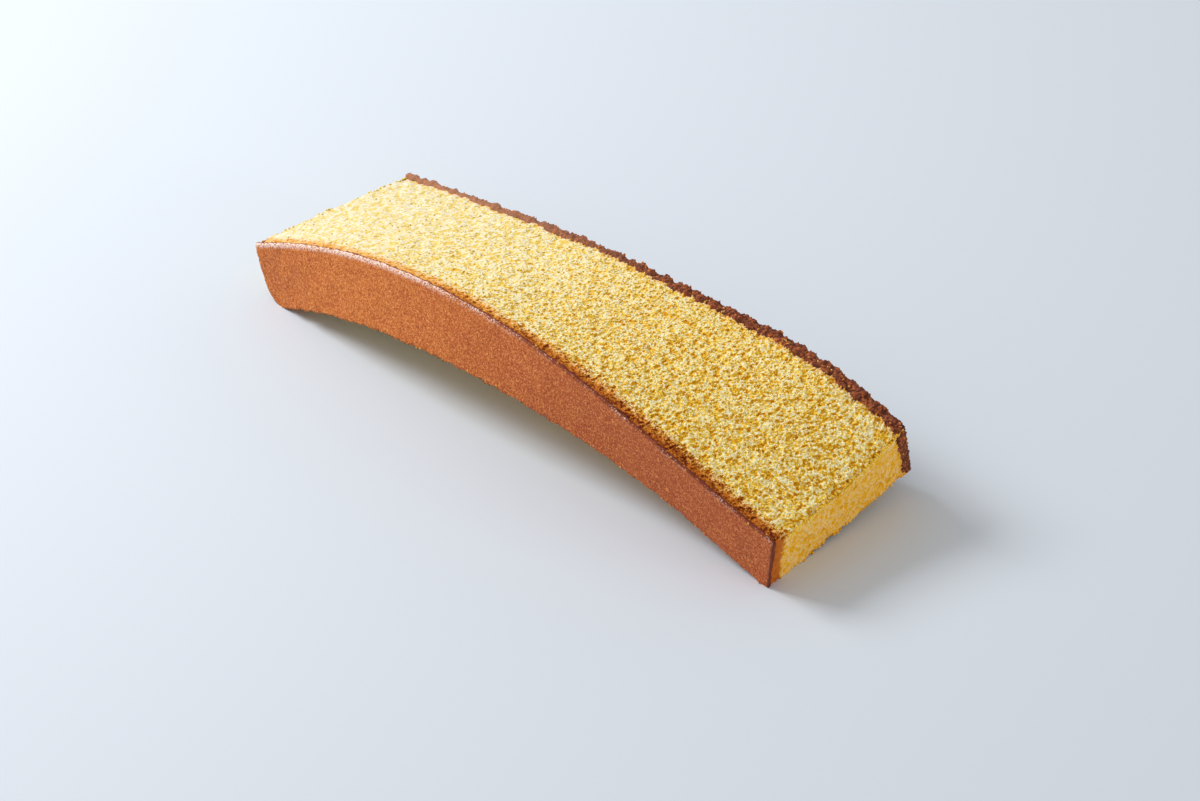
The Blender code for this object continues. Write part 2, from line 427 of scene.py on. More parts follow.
def side_rings(counts, axis, far, stride):
    """Rings of grid places over one side of a block. A coarse side still uses every place on its rim."""
    first, second = (axis + 1) % 3, (axis + 2) % 3
    for low_a, high_a in strides(counts[first], stride):
        for low_b, high_b in strides(counts[second], stride):
            ring = [(a, low_b) for a in walk(low_a, high_a, low_b == 0)]
            ring += [(high_a, b) for b in walk(low_b, high_b, high_a == counts[first])]
            ring += [(a, high_b) for a in walk(high_a, low_a, high_b == counts[second])]
            ring += [(low_a, b) for b in walk(high_b, low_b, low_a == 0)]
            places = []
            for a, b in ring if far else reversed(ring):
                place = [0, 0, 0]
                place[axis] = counts[axis] if far else 0
                place[first], place[second] = a, b
                places.append(tuple(place))
            yield places


def closed_block(lines, side_strides):
    """A closed block on three lists of cell borders: its straight points and its faces.

    side_strides gives, for each axis, how many cells one face takes on the near and on the far side.
    """
    counts = [len(axis_lines) - 1 for axis_lines in lines]
    index, points, faces = {}, [], []
    for axis in range(3):
        for far in (False, True):
            for places in side_rings(counts, axis, far, side_strides[axis][far]):
                for place in places:
                    if place not in index:
                        index[place] = len(points)
                        points.append([lines[n][place[n]] for n in range(3)])
                faces.append([index[place] for place in places])
    return np.array(points), faces


def add_object(name, data):
    """A new object in the scene's own collection."""
    made = bpy.data.objects.new(name, data)
    bpy.context.scene.collection.objects.link(made)
    return made


def make_mesh(name, straight, placed, faces, extra):
    """A mesh object that remembers where each point lies in the straight slice."""
    mesh = bpy.data.meshes.new(name)
    mesh.from_pydata(placed.tolist(), [], faces)
    mesh.update()
    facts = {
        "from_skin": straight[:, 1] + HALF[1],
        "from_base": HALF[1] - straight[:, 1],
        "from_cut": HALF[2] - straight[:, 2],
        "from_left": straight[:, 0] + HALF[0],
        "cut": np.zeros(len(straight)),
        **extra,
    }
    for key, values in facts.items():
        single = np.ndim(values) == 1
        attribute = mesh.attributes.new(key, "FLOAT" if single else "FLOAT_VECTOR", "POINT")
        attribute.data.foreach_set("value" if single else "vector", np.asarray(values, np.float32).ravel())
    mesh.shade_smooth()
    return add_object(name, mesh)


def arithmetic(operation):
    """A method that adds a Math node, and the same with the values the other way round."""

    def plain(self, other):
        return self.tree.math(operation, self, other)

    def reflected(self, other):
        return self.tree.math(operation, other, self)

    return plain, reflected


class Wire:
    """A value on its way through a node tree. Arithmetic on it adds Math nodes."""

    def __init__(self, tree, socket):
        self.tree = tree
        self.socket = socket

    __add__, __radd__ = arithmetic("ADD")
    __sub__, __rsub__ = arithmetic("SUBTRACT")
    __mul__, __rmul__ = arithmetic("MULTIPLY")
    __truediv__, __rtruediv__ = arithmetic("DIVIDE")
    __lt__ = arithmetic("LESS_THAN")[0]
    __gt__ = arithmetic("GREATER_THAN")[0]


def find_socket(sockets, key):
    """A socket by its place, or by its name among those in use."""
    if isinstance(key, int):
        return sockets[key]
    return next(s for s in sockets if s.name == key and s.enabled)


class NodeTree:
    """Builds a shader or geometry node tree."""

    def __init__(self, tree):
        self.tree = tree

    def node(self, kind, settings=None, sockets=None, out=0):
        """Adds a node, sets it up, fills its sockets with values or links, and gives one of its outputs."""
        made = self.tree.nodes.new(kind)
        for key, value in (settings or {}).items():
            if key == "stops":
                self.set_stops(made.color_ramp, value)
            else:
                setattr(made, key, value)
        for key, value in (sockets or {}).items():
            self.feed(find_socket(made.inputs, key), value)
        return Wire(self, find_socket(made.outputs, out)) if made.outputs else made

    def feed(self, socket, value):
        """Fills a socket with a link or a plain value."""
        if isinstance(value, Wire):
            self.tree.links.new(value.socket, socket)
        else:
            socket.default_value = value

    @staticmethod
    def set_stops(ramp, stops):
        while len(ramp.elements) < len(stops):
            ramp.elements.new(0.5)
        for element, (place, colour) in zip(ramp.elements, stops):
            element.position = place
            element.color = colour

    def math(self, operation, *values):
        return self.node("ShaderNodeMath", {"operation": operation}, dict(enumerate(values)))

    def rise(self, value, low, high, first=0.0, last=1.0):
        """first below low, last above high, and a smooth change between them."""
        settings = {"interpolation_type": "SMOOTHSTEP"}
        sockets = {"Value": value, "From Min": low, "From Max": high, "To Min": first, "To Max": last}
        return self.node("ShaderNodeMapRange", settings, sockets)

    def fall(self, value, low, high):
        """1 below low, 0 above high, and a smooth change between them."""
        return self.rise(value, low, high, 1.0, 0.0)

    def noise(self, place, size, detail=2.0, roughness=0.5, out=0):
        """Noise from about 0.2 to 0.8 whose bumps are about as wide as size."""
        sockets = {"Vector": place, "Scale": 1.0 / size, "Detail": detail, "Roughness": roughness}
        return self.node("ShaderNodeTexNoise", None, sockets, out)

    def cells(self, place, size):
        """Distance from the middles of cells about as wide as size."""
        return self.node("ShaderNodeTexVoronoi", None, {"Vector": place, "Scale": 1.0 / size})

    def stirred(self, place, size, reach):
        """A place shifted by noise, so that even patterns turn irregular."""
        shift = self.noise(place, size, 1.0, out=1)
        centred = self.vector("SUBTRACT", shift, (0.5, 0.5, 0.5))
        return self.vector("ADD", place, self.scaled(centred, reach * 2))

    def ridges(self, place, gap, width):
        """1 along thin winding ridges about a gap apart, falling to 0 beside them."""
        return self.fall(self.math("ABSOLUTE", self.noise(place, gap, 0.0) - 0.5), 0.0, width)

    def vector(self, operation, first, second):
        return self.node("ShaderNodeVectorMath", {"operation": operation}, {0: first, 1: second})

    def scaled(self, vector, factor):
        return self.node("ShaderNodeVectorMath", {"operation": "SCALE"}, {"Vector": vector, "Scale": factor})

    def mixed(self, share, first, second):
        """A number between first and second."""
        return share * (second - first) + first

    def band(self, distance, share, left, right):
        """1 nearer than a first limit of distance and 0 beyond a second. The limits move with share."""
        near, far = (self.mixed(share, *ends) for ends in zip(left, right))
        return self.fall(distance, near, far)


class Finish(NodeTree):
    """A material around one Principled shader, built up from a first colour."""

    def __init__(self, name, colour=None):
        self.colour = colour
        self.material = bpy.data.materials.new(name)
        self.material.use_nodes = True
        super().__init__(self.material.node_tree)
        self.shader = self.tree.nodes["Principled BSDF"]
        self.place = self.node("ShaderNodeTexCoord", out="Object")

    def own(self, name):
        """One of the piece's own values."""
        return self.node("ShaderNodeAttribute", {"attribute_name": name}, out="Fac")

    def wander(self, size, reach, detail=2.0, roughness=0.5):
        """Noise about 0, as high as reach from its lows to its highs."""
        return (self.noise(self.place, size, detail, roughness) - 0.5) * reach

    def blend(self, share, first, second):
        """One colour over another."""
        sockets = {"Factor": share, "A": first, "B": second}
        return self.node("ShaderNodeMix", {"data_type": "RGBA"}, sockets, "Result")

    def lay(self, share, colour):
        """Lays a colour over the material's colour so far."""
        self.colour = self.blend(share, self.colour, colour)

    def ramp(self, value, *stops):
        return self.node("ShaderNodeValToRGB", {"stops": stops}, {"Fac": value})

    def bump(self, height, reach, strength):
        """Tilts the surface as if height 0 to 1 stood out by reach."""
        return self.node("ShaderNodeBump", None, {"Height": height, "Distance": reach, "Strength": strength})

    def show(self, **sockets):
        """Sets the shader's sockets, with spaces for underscores in their names."""
        for key, value in {"Base_Color": self.colour, **sockets}.items():
            self.feed(self.shader.inputs[key.replace("_", " ")], value)
        return self.material


class Recipe(NodeTree):
    """A geometry node tree with named inputs."""

    def __init__(self, name):
        super().__init__(bpy.data.node_groups.new(name, "GeometryNodeTree"))
        for way in ("INPUT", "OUTPUT"):
            self.tree.interface.new_socket(name="Geometry", in_out=way, socket_type="NodeSocketGeometry")
        self.values = {}
        self.entry = self.tree.nodes.new("NodeGroupInput")

    def given(self, name, value, kind="NodeSocketFloat"):
        """A named input and the value that this recipe is run with."""
        socket = self.tree.interface.new_socket(name=name, in_out="INPUT", socket_type=kind)
        self.values[socket.identifier] = value
        return Wire(self, self.entry.outputs[name])

    def geometry(self):
        return Wire(self, self.entry.outputs["Geometry"])

    def place(self):
        return self.node("GeometryNodeInputPosition")

    def named(self, name, kind="FLOAT"):
        """A value stored on the mesh."""
        return self.node("GeometryNodeInputNamedAttribute", {"data_type": kind}, {"Name": name}, "Attribute")

    def store(self, geometry, name, value, domain="POINT"):
        settings = {"data_type": "FLOAT", "domain": domain}
        sockets = {"Geometry": geometry, "Name": name, "Value": value}
        return self.node("GeometryNodeStoreNamedAttribute", settings, sockets)

    def random(self, low, high, seed):
        """A number, or a vector where low and high are vectors, drawn for each point."""
        settings = {"data_type": "FLOAT_VECTOR" if hasattr(low, "__len__") else "FLOAT"}
        sockets = {"Min": low, "Max": high, "Seed": seed}
        return self.node("FunctionNodeRandomValue", settings, sockets, "Value")

    def run(self, piece, geometry, material):
        """Ends the tree, runs it on a piece and leaves the piece a plain mesh."""
        realized = self.node("GeometryNodeRealizeInstances", None, {"Geometry": geometry})
        painted = self.node("GeometryNodeSetMaterial", None, {"Geometry": realized, "Material": material})
        self.tree.links.new(painted.socket, self.tree.nodes.new("NodeGroupOutput").inputs["Geometry"])
        modifier = piece.modifiers.new(self.tree.name, "NODES")
        modifier.node_group = self.tree
        for identifier, value in self.values.items():
            modifier[identifier] = value
        graph = bpy.context.evaluated_depsgraph_get()
        made = bpy.data.meshes.new_from_object(
            piece.evaluated_get(graph), preserve_all_data_layers=True, depsgraph=graph
        )
        piece.modifiers.remove(modifier)
        old = piece.data
        piece.data = made
        made.name = piece.name
        bpy.data.meshes.remove(old)
        keep_above_table(made)
        return piece


def keep_above_table(mesh):
    """Presses whatever reaches below the table flat on it."""
    points = np.zeros(len(mesh.vertices) * 3, np.float32)
    mesh.vertices.foreach_get("co", points)
    points[2::3] = np.maximum(points[2::3], 0.0)
    mesh.vertices.foreach_set("co", points)
    mesh.update()


def attach(piece):
    """Hangs a piece on the body that carries it, and hides the solid that it stands in for."""
    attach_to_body(piece, BODY)
    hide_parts(NODE)


def end_crumb_colour(paint, colours, along, depth):
    """The smoother crumb of both ends, deeper golden to the right, partly painted shade; lighter near the
    upper edge, painted light; paler on its grain tops, painted highlight, and deeper in its pits, painted
    shade.
    """
    # Painted light: lighter near the upper edge.
    near_edge = paint.fall(paint.own("from_cut"), 0.0, 0.0050)
    colour = paint.blend(along, colours.crumb_pale, colours.end_crumb)
    colour = paint.blend(near_edge * 0.7, colour, colours.crumb)
    # Painted highlight on the grain tops and painted shade in the pits.
    colour = paint.blend(paint.fall(depth, 0.0, 0.4) * 0.3, colour, colours.grain)
    return paint.blend(paint.rise(depth, 0.35, 1.0) * along * 0.6, colour, colours.pit)


def browned_crumb(paint, colours, along, depth):
    """Lays amber and burnt bands over the crumb beside the skin, darker in their pits as painted shade, and a
    toasted one beside the crust.
    """
    from_left, from_skin = paint.own("from_left"), paint.own("from_skin")
    onset = paint.rise(from_left, 0.05 * LENGTH, 0.75 * LENGTH)
    ragged = from_skin + paint.wander(0.0016, 0.0075, 3.0, 0.75) - (depth - 0.5) * 0.0024
    # Painted shade: the amber band darkens in the pits.
    moist = paint.blend(paint.rise(depth, 0.2, 0.9), colours.amber, colours.amber_pit_shade)
    damp = paint.band(ragged, onset, (0.0040, 0.0088), (0.0042, 0.0080))
    paint.lay(damp * paint.mixed(onset, 0.72, 1.0), moist)
    # Painted shade: the burnt band darkens in the pits.
    scorched = paint.blend(paint.rise(depth, 0.2, 0.95), colours.burnt, colours.burnt_pit_shade)
    burnt = paint.band(ragged, onset, (0.0018, 0.0030), (0.0024, 0.0064))
    paint.lay(burnt * paint.mixed(onset, 0.7, 0.95), scorched)
    end_band = paint.fall(from_skin + paint.wander(0.0012, 0.0020), 0.0050, 0.0068)
    paint.lay(end_band * (1.0 - paint.own("cut")) * along * 0.9, colours.burnt)

    width = paint.rise(from_left, 0.0, CRUST_WIDTH_REACH, CRUST_WIDTH_LEFT, CRUST_WIDTH_RIGHT)
    from_base = paint.own("from_base") + paint.wander(0.002, 0.003, 3.0, 0.6)
    toasted = paint.fall(from_base / width, 0.0032, 0.0058)
    paint.lay(toasted * paint.mixed(along, 0.25, 0.6), colours.amber)
    paint.lay((paint.cells(paint.place, 0.011) < 0.035) * 0.8, colours.burnt)


def crumb_finish(name, colours):
    """Open golden crumb that turns amber, then burnt, towards the browned skin. Paler to the left, partly
    painted sheen; deeper golden in its pits and on steep flanks, painted shade, and paler on its grain tops,
    painted highlight.
    """
    paint = Finish(name)
    from_left = paint.own("from_left")
    # Paler towards the left end: partly painted sheen.
    along = paint.rise(from_left, -0.15 * LENGTH, 0.85 * LENGTH)
    # Painted shade and highlight: deeper golden with pit depth and steepness, paler on the grain tops.
    sunk = paint.own("pit") * 0.95 + paint.own("steep") * 0.9 - 0.31
    speckle = paint.wander(0.0006, 1.6, 1.0, 0.6) + paint.wander(0.0012, 0.6, 1.0, 0.6)
    depth = sunk + speckle * paint.mixed(along, 0.3, 0.5)
    pale = paint.ramp(depth, (0.1, colours.grain_pale), (0.45, colours.crumb_pale), (0.95, colours.pale_pit_shade))
    deep = paint.ramp(depth, (0.1, colours.grain), (0.42, colours.crumb), (0.9, colours.pit))
    end_share = (1.0 - paint.own("cut")) * 0.85
    paint.colour = paint.blend(along, pale, deep)
    paint.lay(end_share, end_crumb_colour(paint, colours, along, depth))
    browned_crumb(paint, colours, along, depth)
    fine_grain = paint.noise(paint.place, 0.0007, 3.0, 0.7)
    roughened = paint.rise(from_left, 0.2 * LENGTH, 0.7 * LENGTH, 0.1, 1.0)
    return paint.show(
        Roughness=paint.mixed(along, 0.75, 0.5),
        Specular_IOR_Level=0.1,
        Normal=paint.bump(fine_grain * roughened, 0.00045, 0.85),
    )


def loose_finish(colours):
    """Small toasted crumbs, golden to orange, that cling to the skin and the crust."""
    paint = Finish("loose_crumbs")
    tint = paint.own("pit") + paint.wander(0.0006, 0.8)
    stops = (0.0, colours.loose_crumb), (0.5, colours.crust_light), (1.0, colours.crust)
    paint.colour = paint.ramp(tint, *stops)
    return paint.show(Roughness=0.9, Specular_IOR_Level=0.1)


def skin_finish(colours):
    """Smooth matt browned skin: fine grain, few pores, a pale flecked rim and a dark cut edge; darker towards
    the right end, partly painted shade. The rim's pale flecks are painted highlight, strongest at the left
    end, over the rim's real gloss.
    """
    paint = Finish("browned_skin")
    place, from_left = paint.place, paint.own("from_left")
    grain = paint.noise(place, 0.00058, 2.0, 0.8)
    spots = paint.noise(place, 0.0013, 2.0, 0.6)
    along = paint.rise(from_left, 0.15 * LENGTH, 0.8 * LENGTH)
    mottle = paint.rise(paint.noise(place, 0.008, 3.0, 0.6), 0.3, 0.7, -0.2, 0.2)
    # Darker towards the right end: partly the skin's own tone, partly painted shade.
    paint.colour = paint.blend(along + mottle, colours.skin, colours.skin_right_tone_and_shade)
    upright = paint.noise(paint.vector("MULTIPLY", place, (1.0, 1.0, 0.12)), 0.0036, 2.0)
    streaks = paint.fall(from_left, 0.0, 0.06) * paint.rise(upright, 0.42, 0.62)
    paint.lay(streaks * 0.5, colours.skin_streak)
    speckle = grain * 0.75 + spots * 0.25
    paint.lay(paint.rise(speckle, 0.5, 0.64) * 0.75, colours.skin_bright)
    paint.lay(paint.rise(speckle, 0.5, 0.37) * 0.65, colours.skin_dark)
    pores = paint.fall(paint.cells(place, 0.0075), 0.025, 0.06)
    paint.lay(pores * 0.7, colours.skin_pore)

    # Painted highlight: pale flecks along the cut rim, strongest towards the left end; the lower roughness
    # there is the rim's real gloss.
    from_rim = paint.own("from_cut") + paint.wander(0.0016, 0.0014, 3.0, 0.6)
    fleck_low = paint.rise(from_left, 0.25 * LENGTH, 0.6 * LENGTH, 0.42, 0.54)
    flecks = paint.rise(paint.noise(place, 0.0006, 2.0, 0.6), fleck_low, fleck_low + 0.08)
    patches = paint.rise(paint.noise(place, 0.012, 2.0), 0.44, 0.62)
    shine = paint.fall(from_left, 0.3 * LENGTH, 0.6 * LENGTH)
    glossy = paint.fall(from_rim, 0.0004, 0.0021) * flecks * (shine + patches * 0.7 * (1.0 - shine))
    paint.lay(glossy, colours.skin_rim_highlight)
    frayed = paint.fall(from_rim, 0.0, 0.0011) * (1.0 - flecks) * (1.0 - shine)
    paint.lay(frayed * 0.8, colours.skin_edge)
    inside = paint.rise(paint.own("from_skin"), 0.0002, 0.0005)
    paint.lay(inside * 0.9, colours.skin_edge)
    from_end = LENGTH - from_left + paint.wander(0.0016, 0.0016, 3.0, 0.6)
    paint.lay(paint.fall(from_end, 0.0, 0.0011) * 0.85, colours.skin_edge)
    return paint.show(
        Roughness=paint.rise(glossy, 0.0, 1.0, 0.7, 0.4),
        Specular_IOR_Level=0.25,
        Normal=paint.bump(grain * 0.5 + spots * 0.5, 0.00022, 0.9),
    )


def crust_finish(colours):
    """Rough dark crust whose crumbs run from burnt to orange; darker in its hollows, partly painted shade,
    and paler to the left, painted sheen.
    """
    paint = Finish("base_crust")
    # Partly painted shade: the crust darkens with the depth of its hollows.
    depth = (paint.own("pit") - 0.5) * 1.1 + 0.5 + paint.wander(0.0008, 1.6, 2.0, 0.7)
    stops = (0.0, colours.crust_light), (0.3, colours.crust), (0.85, colours.crust_dark_and_shade)
    paint.colour = paint.ramp(depth, *stops)
    patches = paint.rise(paint.noise(paint.place, 0.0034, 2.0), 0.45, 0.62)
    paint.lay(patches * 0.5, colours.crust_patch)
    # Painted sheen: paler crust towards the left end.
    paint.lay(paint.fall(paint.own("from_left"), 0.02, 0.17) * 0.45, colours.crust_left_sheen)
    return paint.show(
        Roughness=0.8,
        Specular_IOR_Level=0.3,
        Normal=paint.bump(paint.noise(paint.place, 0.0007, 3.0, 0.65), 0.0005, 0.9),
    )


def table_finish(colours):
    """Plain pale table."""
    return Finish("table", colours.table).show(Roughness=0.6, Specular_IOR_Level=0.3)


def steepness(recipe):
    """0 where the surface faces outwards and 1 where it is about square to that."""
    sockets = {0: recipe.node("GeometryNodeInputNormal"), 1: recipe.named("out", "FLOAT_VECTOR")}
    upright = recipe.node("ShaderNodeVectorMath", {"operation": "DOT_PRODUCT"}, sockets, "Value")
    return recipe.fall(upright, 0.4, 1.0)


def tear_open(piece, name, grain_gap, pit_gap, depth, material):
    """Tears a piece's surface open along its own outward direction, into grains, short threads and pits.

    What the piece calls open, 0 to 1, says how far. Keeps the depth as pit and the slope as steep, 0 to 1.
    """
    recipe = Recipe(name)
    place = recipe.place()
    grain_gap = recipe.given("Grain gap", grain_gap)
    pit_gap = recipe.given("Pit gap", pit_gap)
    stirred = recipe.stirred(place, 0.0019, 0.0007)
    finely_stirred = recipe.stirred(place, 0.0011, 0.0003)
    widely_stirred = recipe.stirred(place, 0.0030, 0.0014)
    grain = recipe.fall(recipe.cells(stirred, grain_gap), 0.05, 0.7)
    fine = recipe.fall(recipe.cells(finely_stirred, grain_gap * 0.62), 0.05, 0.75)
    thread = recipe.ridges(stirred, grain_gap * 1.2, 0.12)
    gaps = recipe.rise(recipe.noise(stirred, pit_gap * 0.5, 0.0), 0.36, 0.50)
    pits = recipe.rise(recipe.noise(place, pit_gap, 1.0), 0.38, 0.50)
    bubbles = recipe.rise(recipe.cells(widely_stirred, pit_gap * 2.8), 0.10, 0.24)
    height = grain * 0.28 + fine * 0.25 + thread * 0.13 + gaps * 0.18 + pits * 0.16 + bubbles * 0.2 - 0.2
    reach = (height - 0.6) * recipe.given("Depth", depth) * recipe.named("open")
    lift = recipe.scaled(recipe.named("out", "FLOAT_VECTOR"), reach)
    moved = recipe.node("GeometryNodeSetPosition", None, {"Geometry": recipe.geometry(), "Offset": lift})
    kept = recipe.store(moved, "pit", recipe.fall(height, 0.15, 0.9))
    return recipe.run(piece, recipe.store(kept, "steep", steepness(recipe)), material)


def set_down_outwards(moved, outward):
    """Straight points set down on the table, and where their outward steps lead from there."""
    placed = SEAT.place(moved)
    return placed, (SEAT.place(moved + outward * OUTWARD_PROBE) - placed) / OUTWARD_PROBE


def crumb_openness(straight):
    """How far the crumb is torn open: little at the left, most at the right, less at the upper edges."""
    ends, _, top, under = sides(straight)
    x, _, z = straight.T
    weathered = mix(OPEN_LEFT, OPEN_RIGHT, smooth_step(0.08 * LENGTH, 0.8 * LENGTH, x + HALF[0]))
    openness = np.where(top, weathered, np.where(ends, OPEN_END, np.where(under, OPEN_UNDER, 0.0)))
    rim = 1.0 - (HALF[2] - np.abs(z)) / CORNER_WIDTH
    openness = np.where(ends, np.maximum(openness, rim), openness)
    from_edge = np.where(ends, HALF[2] - z, HALF[0] - np.abs(x))
    corner = mix(OPEN_CORNER, 1.0, smooth_step(0.0, CORNER_WIDTH, from_edge))
    return openness * np.where(top | ends, corner, 1.0)


def crumb_block(name, sizes, material, low, high):
    """One block of the crumb, from low to high along the slice, torn open on its cut faces.

    Past a border with the next block it goes on for two cells that lie a little deeper.
    """
    step = sizes.crumb_step
    first, last = low < SLACK - HALF[0], high > HALF[0] - SLACK
    before = [] if first else [low - 2 * step, low - step]
    after = [] if last else [high + step, high + 2 * step]
    lines = [
        [*before, *cell_lines(low, high, step), *after],
        cell_lines(-HALF[1] + SKIN_THICKNESS * INSET, HALF[1] - CRUST_THICKNESS * INSET, step),
        cell_lines(-HALF[2], HALF[2], step),
    ]
    end_strides = (1 if first else COARSE, 1 if last else COARSE)
    straight, faces = closed_block(lines, (end_strides, (COARSE, COARSE), (COARSE, 1)))
    x, y, z = straight.T
    _, _, top, under = sides(straight)
    outward = outwards(straight)
    relief = crumb_relief(straight) * np.where(under, UNDERSIDE_SHARE, 1.0)
    moved = straight + outward * relief[:, None]
    amber = AMBER_DIP * fade(AMBER_DIP_WIDTH, y + HALF[1])
    from_end = HALF[0] - x + ROUNDING_WANDER * bumps(straight, ROUNDING_GAP)
    past_border = np.maximum(low - x, x - high) / step
    moved[:, 2] -= np.where(top, amber + ROUNDING_DEPTH * fade(ROUNDING_WIDTH, from_end), 0.0)
    moved[:, 2] -= np.sign(z) * np.interp(past_border, range(len(SUNK_UNDER_NEXT)), SUNK_UNDER_NEXT)
    outward /= np.maximum(1.0, np.linalg.norm(outward, axis=1))[:, None]
    placed, out = set_down_outwards(moved, outward)
    extra = {"open": crumb_openness(straight), "cut": 1.0 * top, "out": out}
    piece = make_mesh(name, straight, placed, faces, extra)
    return tear_open(piece, "Open crumb", sizes.grain_gap, sizes.pit_gap, sizes.crumb_depth, material)


def crumb_blocks(sizes, material):
    """The crumb, in blocks that meet end to end without a gap."""
    borders = cell_lines(-HALF[0], HALF[0], LENGTH / sizes.crumb_blocks)
    return [
        crumb_block(f"sponge_{i}", sizes, material, low, high)
        for i, (low, high) in enumerate(zip(borders, borders[1:]), 1)
    ]


def scatter_piece(name, emitters, material, chosen, gap, length, tint, seed, flat):
    """Loose-looking torn crumbs that sit half sunk on the chosen faces of other pieces."""
    piece = joined_copy(name, emitters)
    recipe = Recipe(name)
    settings = {"distribute_method": "POISSON"}
    sockets = {
        "Mesh": recipe.geometry(),
        "Distance Min": recipe.given("Gap", gap),
        "Density Max": 4.0 / (gap * gap),
        "Density Factor": chosen(recipe),
        "Seed": recipe.given("Seed", seed, "NodeSocketInt"),
    }
    points = recipe.node("GeometryNodeDistributePointsOnFaces", settings, sockets)
    stretch = recipe.random((flat * 0.7,) * 2 + (0.7,), (flat * 1.3,) * 2 + (1.3,), seed + 1)
    sockets = {
        "Points": points,
        "Instance": recipe.node("GeometryNodeMeshIcoSphere", None, {"Radius": 0.5, "Subdivisions": 1}),
        "Rotation": recipe.random((-math.pi,) * 3, (math.pi,) * 3, seed),
        "Scale": recipe.scaled(stretch, recipe.given("Length", length)),
    }
    crumbs = recipe.node("GeometryNodeInstanceOnPoints", None, sockets)
    tinted = recipe.store(crumbs, "pit", recipe.random(*tint, seed + 2), "INSTANCE")
    loose = recipe.node("GeometryNodeRealizeInstances", None, {"Geometry": tinted})
    shift = recipe.vector("SUBTRACT", recipe.noise(recipe.place(), 0.0005, 1.0, out=1), (0.5, 0.5, 0.5))
    sockets = {"Geometry": loose, "Offset": recipe.scaled(shift, length * 0.6)}
    torn = recipe.node("GeometryNodeSetPosition", None, sockets)
    shaded = recipe.node("GeometryNodeSetShadeSmooth", None, {0: torn})
    return recipe.run(piece, recipe.store(shaded, "steep", steepness(recipe)), material)


def joined_copy(name, pieces):
    """One object with copies of several pieces' meshes."""
    copies = [add_object(name, piece.data.copy()) for piece in pieces]
    if len(copies) > 1:
        with bpy.context.temp_override(active_object=copies[0], selected_editable_objects=copies):
            bpy.ops.object.join()
    copies[0].name = name
    return copies[0]


def skin_piece(sizes, material):
    """The browned skin: a thin shell with a rounded upper rim and faint creases near its left end."""
    radius = sizes.skin_thickness * 0.5
    overhang, wide_step, fine_step, rim_height, torn_height = 0.0003, 0.0007, 0.0002, 0.0012, 0.0020
    crease_middle, crease_reach, crease_gap, crease_height = 0.024, 0.013, 0.0026, 0.00028
    top = HALF[2] + SKIN_LIP * 0.4
    rim_start = top - rim_height
    lines = [
        cell_lines(-HALF[0] - overhang, HALF[0] + overhang, wide_step),
        cell_lines(-HALF[1], -HALF[1] + sizes.skin_thickness, fine_step),
        [*cell_lines(-HALF[2], rim_start, wide_step), *cell_lines(rim_start, top, fine_step)[1:]],
    ]
    straight, faces = closed_block(lines, ((1, 1), (1, 4), (4, 1)))
    x, y, z = straight.T
    moved = straight.copy()
    inwards, down, from_left = y + HALF[1], top - z, x + HALF[0]
    near = (inwards < radius) & (down < radius) & ((inwards < SLACK) | (down < SLACK))
    turn = np.where(down < SLACK, radius - inwards, radius + down) / (2 * radius) * math.pi / 2
    moved[near, 1] = (-HALF[1] + radius - radius * np.sin(turn))[near]
    moved[near, 2] = (top - radius + radius * np.cos(turn))[near]
    torn = 0.00045 * bumps(straight, 0.0012) + 0.00025 * bumps(straight, 0.0034)
    moved[:, 2] += torn * fade(rim_height, down)
    moved[:, 2] += 2 * torn * fade(torn_height, z + HALF[2])
    moved[:, 0] += np.where(np.abs(x) > HALF[0], np.sign(x) * 0.0004 * bumps(straight, 0.0016), 0.0)
    creased = np.exp(-(((from_left - crease_middle) / crease_reach) ** 2)) * smooth_step(0.004, 0.012, down)
    creases = crease_height * np.sin(from_left / crease_gap + 3.0 * bumps(straight, 0.02)) * creased
    moved[:, 1] += np.where(inwards < radius / 2, creases + 0.00028 * bumps(straight, 0.011), 0.0)
    piece = make_mesh("browned_skin", straight, SEAT.place(moved), faces, {})
    piece.data.materials.append(material)
    return piece


def crust_piece(sizes, material):
    """The rough base crust: a ragged strip that stands a little proud of the cut face."""
    depth, overhang, step = CRUST_THICKNESS * 1.45, 0.0002, sizes.crust_step
    sunk_in_face, sunk_in_end, proud_of_end = 0.0016, 0.0011, 0.0003
    lines = [
        cell_lines(-HALF[0] - overhang, HALF[0] + overhang, step),
        cell_lines(HALF[1] - depth, HALF[1], step),
        cell_lines(-HALF[2], HALF[2], step),
    ]
    straight, faces = closed_block(lines, ((1, 1), (4, 1), (4, 1)))
    x, y, _ = straight.T
    ends, back, top, under = sides(straight)
    crags = crag_relief(straight)
    width = mix(CRUST_WIDTH_LEFT, CRUST_WIDTH_RIGHT, smooth_step(0.0, CRUST_WIDTH_REACH, x + HALF[0]))
    ragged = HALF[1] - y + 0.0007 * bumps(straight, 0.0028)
    proud = 1.0 - smooth_step(CRUST_LIP_FULL * width, CRUST_LIP_END * width, ragged)
    moved = straight.copy()
    moved[:, 2] += np.where(top, mix(-sunk_in_face, CRUST_LIP, proud) + CUT_FACE_CRAG_SHARE * crags, 0.0)
    moved[:, 0] += np.where(ends, np.sign(x) * mix(-sunk_in_end, proud_of_end, proud), 0.0)
    moved[:, 1] += np.where(back, crags, 0.0)
    placed, out = set_down_outwards(moved, outwards(straight))
    weathered = mix(0.5, 1.0, smooth_step(0.0, 0.4 * LENGTH, x + HALF[0]))
    openness = np.where(under & ~back, 0.2, np.where(top | ends | back, weathered, 0.0))
    piece = make_mesh("base_crust", straight, placed, faces, {"open": openness, "out": out})
    width = sizes.crag_width
    return tear_open(piece, "Crust crags", width, width * 1.8, sizes.crag_depth, material)


